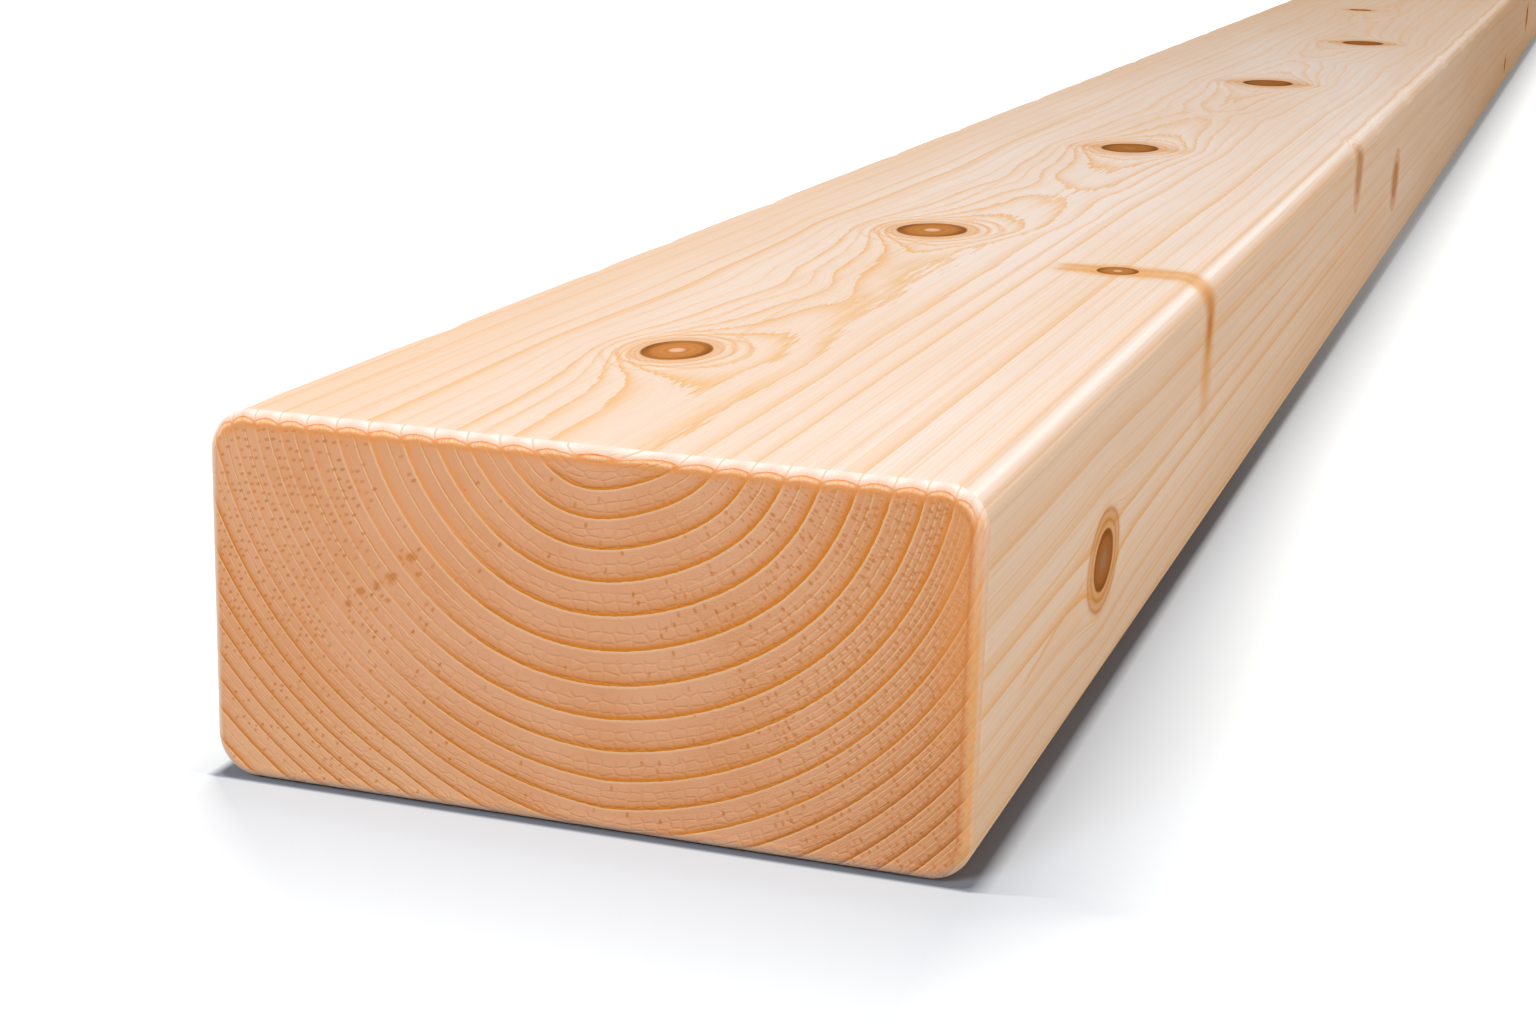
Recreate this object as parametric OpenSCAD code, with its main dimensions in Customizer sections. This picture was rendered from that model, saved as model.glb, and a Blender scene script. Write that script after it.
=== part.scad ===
// Planed softwood plank: one sawn piece with rounded long edges and eased end cuts.
// The length runs along Y, the width along X and the thickness up Z.
// The origin is at the centre of the bottom face.

/* [Stock] */
// Length from end cut to end cut, mm
plank_length = 6000; // [300:1:7200]
// Width across the broad faces, mm
plank_width = 145; // [45:1:300]
// Thickness between the broad faces, mm
plank_thickness = 70; // [32:1:200]

/* [Edges] */
// Radius planed along the four long edges, mm
edge_radius = 8; // [4:0.5:12]
// Radius eased round both end cuts, mm
end_radius = 2.5; // [0.5:0.5:3.5]

/* [Hidden] */
$fn = 96;

// Flat width of the broad faces, between the radii of the long edges
flat_width = plank_width - 2 * edge_radius;
// Flat height of the side faces, between the radii of the long edges
flat_height = plank_thickness - 2 * edge_radius;

// A rectangle centred on the origin, with its four corners rounded.
module rounded_rectangle(width, height, radius) {
    square([width - 2 * radius, height], center = true);
    square([width, height - 2 * radius], center = true);
    for (x = [-1, 1], y = [-1, 1])
        translate([x * (width / 2 - radius), y * (height / 2 - radius)])
            circle(r = radius);
}

// The wood between the flats of the top and bottom faces, at full thickness.
module broad_slab() {
    rotate([90, 0, 90])
        linear_extrude(height = flat_width, center = true)
            rounded_rectangle(plank_length, plank_thickness, end_radius);
}

// The wood between the flats of the side faces, at full width.
module side_slab() {
    linear_extrude(height = flat_height, center = true)
        rounded_rectangle(plank_width, plank_length, end_radius);
}

// The wood under one rounded long edge: a rod whose rim is eased at both end cuts.
module edge_rod() {
    rotate([90, 0, 0])
        rotate_extrude()
            intersection() {
                rounded_rectangle(2 * edge_radius, plank_length, end_radius);
                translate([0, -plank_length / 2])
                    square([edge_radius, plank_length]);
            }
}

// The whole plank, lying on a broad face.
module plank() {
    color("burlywood")
        translate([0, 0, plank_thickness / 2])
            union() {
                broad_slab();
                side_slab();
                for (x = [-1, 1], z = [-1, 1])
                    translate([x * flat_width / 2, 0, z * flat_height / 2])
                        edge_rod();
            }
}

plank();
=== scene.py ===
"""Planed softwood plank: one meshed piece with grown-wood materials, lying on a pale studio floor.

Mesh code is in millimetres: x across the plank, s along it from the near end, z up from the floor.
"""

import math
from functools import partialmethod

import bmesh
import bpy
import numpy as np
from mathutils import Matrix, Vector


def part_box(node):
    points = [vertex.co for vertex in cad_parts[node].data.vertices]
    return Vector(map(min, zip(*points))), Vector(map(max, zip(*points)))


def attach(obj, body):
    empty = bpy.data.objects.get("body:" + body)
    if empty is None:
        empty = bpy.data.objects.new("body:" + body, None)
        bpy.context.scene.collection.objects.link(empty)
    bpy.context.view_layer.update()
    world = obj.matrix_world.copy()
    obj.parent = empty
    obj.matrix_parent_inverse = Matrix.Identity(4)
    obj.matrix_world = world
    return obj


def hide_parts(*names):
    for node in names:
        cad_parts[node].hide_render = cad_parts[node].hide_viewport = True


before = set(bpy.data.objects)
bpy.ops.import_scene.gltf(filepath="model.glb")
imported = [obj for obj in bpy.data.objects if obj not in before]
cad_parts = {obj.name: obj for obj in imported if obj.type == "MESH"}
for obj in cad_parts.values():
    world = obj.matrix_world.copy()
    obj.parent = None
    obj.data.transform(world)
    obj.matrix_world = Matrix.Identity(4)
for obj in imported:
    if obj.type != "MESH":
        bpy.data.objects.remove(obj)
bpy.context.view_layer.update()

# Stock sizes, from the frame
MM = 1000.0
LOW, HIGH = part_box("plank")
WIDTH, LENGTH, THICK = ((high - low) * MM for low, high in zip(LOW, HIGH))
EDGE_RADIUS = 8.0
END_RADIUS = 2.5

# The log: its heart, how that sways along the plank, and the widths of the rings
PITH_X, PITH_Z = 5.4, 81.0
SWAY_X, SWAY_X_RUN = 2.5, 1400.0
SHAKE_X, SHAKE_X_RUN = 0.5, 420.0
SWAY_Z, SWAY_Z_RUN = 4.0, 1500.0
SHAKE_Z, SHAKE_Z_RUN = 1.5, 430.0
RADIUS_MOST, RADIUS_STEPS = 200.0, 2001
RING_WIDTH_LEAST = 4.4
RING_WIDTH_SWELL = 2.0
RING_SWELL_AT, RING_SWELL_SPREAD = 48.0, 28.0
RING_WIDTH_GAIN = 0.5
RING_GAIN_FROM, RING_GAIN_OVER = 80.0, 25.0
FIRST_RING_AT = 18.5
# The rings' shape: ovals, the crowding of the outer ones, and waves as height, lobes, turn and run
OVAL = 1.02
OUTER_FROM, OUTER_OVER = 40.0, 60.0
OVAL_GAIN_RIGHT, OVAL_GAIN_LEFT = 0.2, -0.06
CROWDING_LEFT, CROWDING_OVER = 0.16, 40.0
RING_WAVES = ((0.7, 2.0, 0.6, 310.0), (0.4, 5.0, 0.0, 170.0))

# Mesh steps round the section of the near end, and how many of them make one step of the long body
FLAT_STEPS, SIDE_STEPS, ARC_STEPS = 232, 96, 24
BODY_STEP = 4
# Loops of the ends, as distances in from the outline
RIM_INSETS = (0.0, 0.1, 0.35, 0.7, 1.1)
NEAR_INSETS = np.concatenate([RIM_INSETS, np.arange(1.4, 4.4, 0.2), np.arange(4.5, 7.9, 0.45)])
FAR_INSETS = np.array([0.0, 0.35, 1.2, END_RADIUS, 5.0])
# Rings of the body: first, last and step in the seen part, then start, end gap and count of the rest
SEEN_FIRST, SEEN_LAST, SEEN_STEP = 6.0, 1500.0, 12.0
REST_FIRST, REST_GAP, REST_COUNT = 1510.0, 20.0, 78

# Nicks along the long edges: where they begin, their depth and limits, and waves as height, run and turn
WEAR_FROM, WEAR_OVER = 420.0, 160.0
WEAR_DEPTH, WEAR_LEAST, WEAR_MOST = 0.7, 0.4, 2.0
WEAR_WAVES = ((1.0, 6.9, 0.0), (1.0, 11.3, 1.0), (0.7, 17.9, 2.0))
WEAR_SHIFT = 700.0

# Relief of the sawn near end
RING_RELIEF = 0.06
RIDGE_AT = 0.8
TORN_INSET, TORN_ARCH, TORN_DEPTH = 1.6, 0.6, 0.03
TORN_AT, TORN_SPREAD = 0.2, 0.32
TORN_HEIGHT, TORN_RUN = 9.0, 3.0
END_FACE_DEPTH, END_FACE_RUN = 0.12, 1.4

# Knots that the picture shows, and a few on the hidden faces.
# Each is: face, across from its middle, from the near end, half width, half length, length of a streak, and
# darkness, below 0 for one that hardly shows
SEEN_KNOTS = [
    ("top", -14.5, 87.5, 7.0, 10.7, 0.0, 0.0),
    ("top", -10.6, 275.0, 9.3, 13.0, 0.0, 0.2),
    ("top", 1.4, 497.0, 9.8, 14.0, 0.0, 0.7),
    ("top", 9.6, 785.0, 11.0, 16.0, 0.0, 0.9),
    ("top", 22.5, 1068.0, 11.0, 16.0, 0.0, 0.9),
    ("top", 48.8, 231.0, 5.2, 6.0, 60.0, 0.3),
    ("right", -4.5, 106.5, 6.4, 9.8, 0.0, 0.25),
    ("right", 22.0, 580.0, 9.0, 9.0, 1.0, -0.5),
    ("right", 0.5, 743.0, 8.0, 11.0, 1.0, -0.4),
    ("left", 2.0, 96.0, 9.0, 11.0, 0.0, 0.3),
    ("left", -8.0, 283.0, 8.0, 11.0, 0.0, 0.5),
    ("bottom", -24.0, 510.0, 9.0, 12.0, 0.0, 0.5),
    ("bottom", 34.0, 800.0, 9.0, 13.0, 0.0, 0.7),
]
# Whorls of other knots: seed, first place, gap to the far end, and the ranges that are drawn from
KNOT_SEED = 17
WHORL_FIRST, WHORL_END_GAP, WHORL_STEP, WHORL_SPREAD = 1380.0, 120.0, (250.0, 470.0), 22.0
WHORL_WIDE, WHORL_NARROW = 46.0, 16.0
WHORL_SIZE, WHORL_STRETCH, WHORL_DARK = (4.0, 9.5), (1.2, 1.6), (0.1, 0.9)
# A knot's reach in its half lengths and in shares of its streak, and values away from knots
KNOT_REACH, STREAK_SPREAD = 3.0, 0.35
REIGN_MOST, NO_KNOT = 3.0, 900.0

# Bake map: cuts between the body's strips, height of the ends' row, width of the near end, and gaps
BAKE_CUTS = (1400.0, 3600.0)
BAKE_ENDS, BAKE_NEAR, BAKE_GAP = 0.25, 0.52, 0.012

# Camera of the picture: focal length in pixels of the 1536 wide frame, place in mm, angles in degrees
FRAME_WIDTH = 1536
FOCAL_PIXELS = 2579.5
CAMERA_PLACE = (164.7, -399.3, 172.8)
CAMERA_YAW, CAMERA_PITCH, CAMERA_ROLL = -18.05, -14.75, 1.64
CLIP_START = 0.01


def add_object(name, data):
    """A new object in the scene."""
    made = bpy.data.objects.new(name, data)
    bpy.context.scene.collection.objects.link(made)
    return made


# Growth of the log

def pith(s):
    """Where the heart of the log runs, in x and z, at each distance from the near end."""
    x = PITH_X + SWAY_X * np.sin(s / SWAY_X_RUN) + SHAKE_X * (np.cos(s / SHAKE_X_RUN) - 1.0)
    z = PITH_Z + SWAY_Z * np.sin(s / SWAY_Z_RUN) + SHAKE_Z * np.sin(s / SHAKE_Z_RUN)
    return x, z


def ring_age(radius):
    """Number of the growth ring at a distance from the heart; whole numbers are the dark boundaries."""
    steps = np.linspace(0.0, RADIUS_MOST, RADIUS_STEPS)
    swell = np.exp(-((steps - RING_SWELL_AT) / RING_SWELL_SPREAD) ** 2)
    gain = np.clip((steps - RING_GAIN_FROM) / RING_GAIN_OVER, 0.0, 1.0)
    width = RING_WIDTH_LEAST + RING_WIDTH_SWELL * swell + RING_WIDTH_GAIN * gain
    age = np.concatenate([[0.0], np.cumsum(np.diff(steps) / width[:-1])])
    age -= np.interp(FIRST_RING_AT, steps, age)
    return np.interp(radius, steps, age)


def growth(x, s, z):
    """Offsets from the heart, radius of the ring and ring age at points of the plank."""
    heart_x, heart_z = pith(s)
    dx, dz = x - heart_x, z - heart_z
    angle = np.arctan2(dx, -dz)
    # The outer rings stand steeper to the right and crowd together to the left
    outer = np.clip((np.hypot(dx, dz) - OUTER_FROM) / OUTER_OVER, 0.0, 1.0) ** 2
    oval = OVAL + outer * np.where(dx > 0.0, OVAL_GAIN_RIGHT, OVAL_GAIN_LEFT)
    crowding = 1.0 + CROWDING_LEFT * outer * np.clip(-dx / CROWDING_OVER, 0.0, 1.0)
    radius = np.hypot(dx * oval, dz) * crowding
    for height, lobes, turn, run in RING_WAVES:
        radius += height * np.sin(lobes * angle + turn + s / run)
    return dx, dz, radius, ring_age(radius)


# Mesh of the plank

def section():
    """Points round the section from the bottom by the right, as x, z and normal; and distances round."""
    flat, r = WIDTH / 2 - EDGE_RADIUS, EDGE_RADIUS
    parts = []

    def line(start, end, count, normal):
        t = np.arange(count)[:, None] / count
        points = np.array(start) * (1 - t) + np.array(end) * t
        parts.append(np.hstack([points, np.tile(normal, (count, 1))]))

    def bend(centre, first_degrees):
        turn = np.radians(first_degrees + 90.0 * np.arange(ARC_STEPS) / ARC_STEPS)
        normal = np.stack([np.cos(turn), np.sin(turn)], 1)
        parts.append(np.hstack([np.array(centre) + r * normal, normal]))

    low, high = r, THICK - r
    line((0, 0), (flat, 0), FLAT_STEPS // 2, (0, -1))
    bend((flat, low), -90)
    line((WIDTH / 2, low), (WIDTH / 2, high), SIDE_STEPS, (1, 0))
    bend((flat, high), 0)
    line((flat, THICK), (-flat, THICK), FLAT_STEPS, (0, 1))
    bend((-flat, high), 90)
    line((-WIDTH / 2, high), (-WIDTH / 2, low), SIDE_STEPS, (-1, 0))
    bend((-flat, low), 180)
    line((-flat, 0), (0, 0), FLAT_STEPS // 2, (0, -1))
    ring = np.vstack(parts)
    step = np.hypot(*(np.roll(ring[:, :2], -1, 0) - ring[:, :2]).T)
    round_it = np.concatenate([[0.0], np.cumsum(step)[:-1]])
    return ring, round_it, step.sum()


class PlankMesh:
    """Gathers the vertices and faces of the plank, with the values that its materials read."""

    def __init__(self):
        self.places = []
        self.insets = []
        self.rounds = []
        self.normals = []
        self.faces = []
        self.count = 0

    def add(self, x, *values):
        """Adds points by x, s, z, inset, distance round and normal, and returns their numbers."""
        s, z, inset, round_it, *normal = (np.broadcast_to(v, x.shape) for v in values)
        self.places.append(np.stack([x, s, z], 1))
        self.insets.append(inset)
        self.rounds.append(round_it)
        self.normals.append(np.stack(normal, 1))
        numbers = np.arange(self.count, self.count + len(x))
        self.count += len(x)
        return numbers

    def strip(self, first, second):
        """Closed band of faces between two rings of as many points; equal neighbours make triangles."""
        n = len(first)
        for i in range(n):
            j = (i + 1) % n
            corners = [first[i], first[j], second[j], second[i]]
            self.faces.append(list(dict.fromkeys(int(c) for c in corners)))

    def widen(self, coarse, fine):
        """Closed band from a coarse ring to a ring with BODY_STEP times its points."""
        n = len(coarse)
        half = BODY_STEP // 2
        for i in range(n):
            a, b = int(coarse[i]), int(coarse[(i + 1) % n])
            f = [int(fine[(i * BODY_STEP + k) % len(fine)]) for k in range(BODY_STEP + 1)]
            for k in range(half):
                self.faces.append([a, f[k], f[k + 1]])
            self.faces.append([a, f[half], b])
            for k in range(half, BODY_STEP):
                self.faces.append([b, f[k], f[k + 1]])


def edge_wear(s, turn):
    """Small nicks along a long edge, deepest half way round it; turn runs from 0 to 1 across the edge."""
    wave = sum(height * np.sin(s / run + shift) for height, run, shift in WEAR_WAVES)
    reach = np.clip((s - WEAR_FROM) / WEAR_OVER, 0.0, 1.0)
    return WEAR_DEPTH * reach * np.clip(wave - WEAR_LEAST, 0.0, WEAR_MOST) * np.sin(np.pi * turn) ** 2


def add_cap(mesh, ring, round_it, flat, side, insets, place):
    """Builds one end from its rounded rim to the flat middle and returns the rim's outer ring of points.

    place turns a depth from the end plane into a distance from the near end.
    """
    loops = []
    left = np.clip(1.0 - insets / END_RADIUS, 0.0, 1.0)
    for inset, depth in zip(insets, END_RADIUS * (1.0 - np.sqrt(1.0 - left ** 2))):
        x, z = (ring[:, :2] - inset * ring[:, 2:]).T
        loops.append(mesh.add(x, place(depth), z, inset, round_it, ring[:, 2], ring[:, 3]))
    for outer, inner in zip(loops[:-1], loops[1:]):
        mesh.strip(outer, inner)
    # The flat middle is a plain grid whose border meets the last loop
    half_x, low, high = WIDTH / 2 - EDGE_RADIUS, EDGE_RADIUS, THICK - EDGE_RADIUS
    columns = np.linspace(half_x, -half_x, flat + 1)
    rows = np.linspace(low, high, side + 1)
    grid_x, grid_z = np.meshgrid(columns, rows)
    inset = EDGE_RADIUS + np.minimum(half_x - np.abs(grid_x), np.minimum(grid_z - low, high - grid_z))
    grid = mesh.add(grid_x.ravel(), place(0.0), grid_z.ravel(), inset.ravel(), 0.0, 0.0, 0.0)
    grid = grid.reshape(side + 1, flat + 1)
    for r in range(side):
        for c in range(flat):
            corners = (grid[r, c], grid[r, c + 1], grid[r + 1, c + 1], grid[r + 1, c])
            mesh.faces.append([int(v) for v in corners])
    column = np.clip(np.rint((half_x - ring[:, 0]) / (2 * half_x) * flat), 0, flat).astype(int)
    row = np.clip(np.rint((ring[:, 1] - low) / (high - low) * side), 0, side).astype(int)
    mesh.strip(loops[-1], grid[row, column])
    return loops[0]


def body_stations():
    """Distances from the near end of the body's rings: closer where the picture shows the plank."""
    seen = np.arange(SEEN_FIRST, SEEN_LAST, SEEN_STEP)
    rest = np.linspace(REST_FIRST, LENGTH - END_RADIUS - REST_GAP, REST_COUNT)
    return np.concatenate([seen, rest])


def end_relief(x, z, inset):
    """Depth of the sawn near end: ring ridges, and the torn line under the top rim."""
    age = growth(x, np.zeros_like(x), z)[3]
    phase = age - np.floor(age)
    ridge = np.clip(phase / RIDGE_AT, 0.0, 1.0) * np.clip((1.0 - phase) / (1.0 - RIDGE_AT), 0.0, 1.0)
    inside = np.clip((inset - TORN_INSET) / END_FACE_RUN, 0.0, 1.0)
    depth = inside * (END_FACE_DEPTH + RING_RELIEF * (1.0 - ridge))
    line = inset - (TORN_INSET - TORN_ARCH * np.sin(np.pi * phase))
    top = np.clip((z - (THICK - TORN_HEIGHT)) / TORN_RUN, 0.0, 1.0)
    ragged = 0.75 + 0.25 * np.sin(x * 4.1) * np.sin(x * 1.7 + 1.0)
    return depth + top * ragged * TORN_DEPTH * np.exp(-((line - TORN_AT) / TORN_SPREAD) ** 2)


def build_plank():
    """The plank as one closed mesh: fine near end, long body, plainer far end."""
    ring, round_it, total = section()
    body, body_round = ring[::BODY_STEP], round_it[::BODY_STEP]
    mesh = PlankMesh()
    near = add_cap(mesh, ring, round_it, FLAT_STEPS, SIDE_STEPS, NEAR_INSETS, lambda depth: depth)
    near_count = mesh.count
    arc_turn = np.degrees(np.arctan2(body[:, 3], body[:, 2])) / 90.0
    on_arc = np.clip(arc_turn - np.floor(arc_turn), 0.0, 1.0)
    rings = []
    for s in body_stations():
        wear = edge_wear(s + WEAR_SHIFT * np.floor(arc_turn), on_arc)
        x, z = (body[:, :2] - wear[:, None] * body[:, 2:]).T
        rings.append(mesh.add(x, s, z, 0.0, body_round, body[:, 2], body[:, 3]))
    mesh.widen(rings[0], near)
    for first, second in zip(rings[:-1], rings[1:]):
        mesh.strip(first, second)
    flat, side = FLAT_STEPS // BODY_STEP, SIDE_STEPS // BODY_STEP
    far = add_cap(mesh, body, body_round, flat, side, FAR_INSETS, lambda depth: LENGTH - depth)
    mesh.strip(rings[-1], far)

    places = np.vstack(mesh.places)
    insets = np.concatenate(mesh.insets)
    face = places[:near_count]
    face[:, 1] += end_relief(face[:, 0], face[:, 2], insets[:near_count])

    data = bpy.data.meshes.new("timber_plank")
    to_frame = places / MM + np.array([0.0, LOW[1], 0.0])
    data.from_pydata(to_frame.tolist(), [], mesh.faces)
    data.validate()
    turn_faces_out(data)
    give_values(data, places, insets, np.concatenate(mesh.rounds), np.vstack(mesh.normals), total)
    data.polygons.foreach_set("use_smooth", np.ones(len(data.polygons), bool))
    return add_object("timber_plank", data)


def turn_faces_out(data):
    """Makes every face's normal point out of the wood."""
    work = bmesh.new()
    work.from_mesh(data)
    bmesh.ops.recalc_face_normals(work, faces=work.faces)
    work.to_mesh(data)
    work.free()


# Knots

def knot_rounds():
    """Distance round the section of the middle of each long face, and the way its own across runs."""
    flat, side = WIDTH - 2 * EDGE_RADIUS, THICK - 2 * EDGE_RADIUS
    arc = EDGE_RADIUS * math.pi / 2
    right = flat / 2 + arc + side / 2
    top = right + side / 2 + arc + flat / 2
    left = top + flat / 2 + arc + side / 2
    return {"right": (right, 1.0), "top": (top, -1.0), "left": (left, -1.0), "bottom": (0.0, 1.0)}


def all_knots():
    """Seen knots, then whorls of others at random down the rest of the plank."""
    knots = list(SEEN_KNOTS)
    chance = np.random.default_rng(KNOT_SEED)
    s = WHORL_FIRST
    while s < LENGTH - WHORL_END_GAP:
        faces = chance.permutation(["top", "right", "bottom", "left"])[: chance.integers(2, 4)]
        for name in faces:
            reach = WHORL_WIDE if name in ("top", "bottom") else WHORL_NARROW
            size = chance.uniform(*WHORL_SIZE)
            along = s + chance.uniform(-WHORL_SPREAD, WHORL_SPREAD)
            half_length = size * chance.uniform(*WHORL_STRETCH)
            across, darkness = chance.uniform(-reach, reach), chance.uniform(*WHORL_DARK)
            knots.append((name, across, along, size, half_length, 0.0, darkness))
        s += chance.uniform(*WHORL_STEP)
    middles = knot_rounds()
    rows = []
    for name, across, along, half_width, half_length, streak, darkness in knots:
        middle, way = middles[name]
        rows.append((middle + way * across, along, half_width, half_length, streak, darkness))
    return np.array(rows)


def knot_distances(around, along, knots, total):
    """How far each place is from each knot, in shares of the knot's reach."""
    off_round = around[:, None] - knots[None, :, 0]
    off_round -= total * np.rint(off_round / total)
    off_along = along[:, None] - knots[None, :, 1]
    spread = np.maximum(knots[:, 2], knots[:, 4] * STREAK_SPREAD)
    return np.hypot(off_round / spread, off_along / (KNOT_REACH * knots[:, 3]))


# Values on the mesh

def put_values(data, name, values, kind, domain):
    """Writes one number or vector to each point or corner of the mesh."""
    layer = data.attributes.new(name, kind, domain)
    key = "vector" if kind == "FLOAT_VECTOR" else "value"
    layer.data.foreach_set(key, values.astype(np.float32).ravel())


def give_values(data, places, insets, rounds, normals, total):
    """Writes the values that the materials read, and the map for baking."""
    x, s, z = places.T
    dx, dz, radius, age = growth(x, s, z)
    flatness = np.abs(dx * normals[:, 0] + dz * normals[:, 1]) / np.hypot(dx, dz)
    point = {"age": age, "ring_radius": radius, "flatness": flatness, "inset": insets}
    point["out_right"], point["out_up"] = normals.T
    for name, values in point.items():
        put_values(data, name, values, "FLOAT", "POINT")
    put_values(data, "from_heart", np.stack([dx, dz, s], 1), "FLOAT_VECTOR", "POINT")

    corner = np.empty(len(data.loops), np.int32)
    data.loops.foreach_get("vertex_index", corner)
    sizes = np.empty(len(data.polygons), np.int32)
    data.polygons.foreach_get("loop_total", sizes)
    owner = np.repeat(np.arange(len(sizes)), sizes)
    starts = np.concatenate([[0], np.cumsum(sizes)[:-1]])
    middle_s = np.add.reduceat(s[corner], starts) / sizes
    inner = np.add.reduceat((insets[corner] > 0.01).astype(float), starts) > 0
    # Distance round, carried past the seam under the plank where a face crosses it
    around = rounds[corner]
    around = around + total * np.rint((around[starts][owner] - around) / total)
    middle_round = np.add.reduceat(around, starts) / sizes

    knots = all_knots()
    nearest = np.argmin(knot_distances(middle_round, middle_s, knots, total), 1)[owner]
    give_knots(data, around, s[corner], knots, nearest, inner[owner], total)
    data.polygons.foreach_set("material_index", inner.astype(np.int32))
    lay_bake_map(data, x[corner], s[corner], z[corner], around / total, inner[owner], middle_s[owner])


def give_knots(data, around, along, knots, nearest, on_end, total):
    """Writes each corner's place from its nearest knot, and that knot's shape and darkness."""
    mine = knots[nearest]
    across = around - mine[:, 0]
    across -= total * np.rint(across / total)
    # How far each corner is within its own knot's reach, against the next knot's
    apart = knot_distances(around, along, knots, total)
    rows = np.arange(len(nearest))
    own = apart[rows, nearest]
    apart[rows, nearest] = np.inf
    reign = np.clip(apart.min(1) - own, 0.0, REIGN_MOST)
    local = np.stack([across, along - mine[:, 1], reign], 1)
    local[on_end] = NO_KNOT
    put_values(data, "knot", local, "FLOAT_VECTOR", "CORNER")
    put_values(data, "knot_shape", mine[:, 2:5], "FLOAT_VECTOR", "CORNER")
    put_values(data, "knot_dark", mine[:, 5], "FLOAT", "CORNER")


def lay_bake_map(data, x, s, z, turn, on_end, middle_s):
    """Flat map for baking: both ends side by side at the bottom, the body unrolled in three strips above.

    turn is the share of the way round the section, middle_s the middle of each corner's face.
    """
    stations = body_stations()
    cuts = [stations[np.argmin(np.abs(stations - at))] for at in BAKE_CUTS]
    starts = np.array([0.0, *cuts])
    ends = np.array([*cuts, LENGTH])
    strip = np.searchsorted(cuts, middle_s)
    row = (1.0 - BAKE_ENDS) / len(starts)
    inside = 1.0 - 2.0 * BAKE_GAP
    u = (s - starts[strip]) / (ends - starts)[strip]
    v = BAKE_ENDS + row * (strip + BAKE_GAP + inside * turn)
    # The near end takes the larger share of the bottom row
    near = middle_s < LENGTH / 2
    left = np.where(near, 0.0, BAKE_NEAR)
    wide = np.where(near, BAKE_NEAR, 1.0 - BAKE_NEAR)
    u = np.where(on_end, left + wide * (BAKE_GAP + inside * (0.5 + x / WIDTH)), u)
    v = np.where(on_end, BAKE_ENDS * (BAKE_GAP + inside * z / THICK), v)
    layer = data.uv_layers.new(name="OFBake")
    layer.data.foreach_set("uv", np.stack([u, v], 1).astype(np.float32).ravel())


# Shader building

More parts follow.
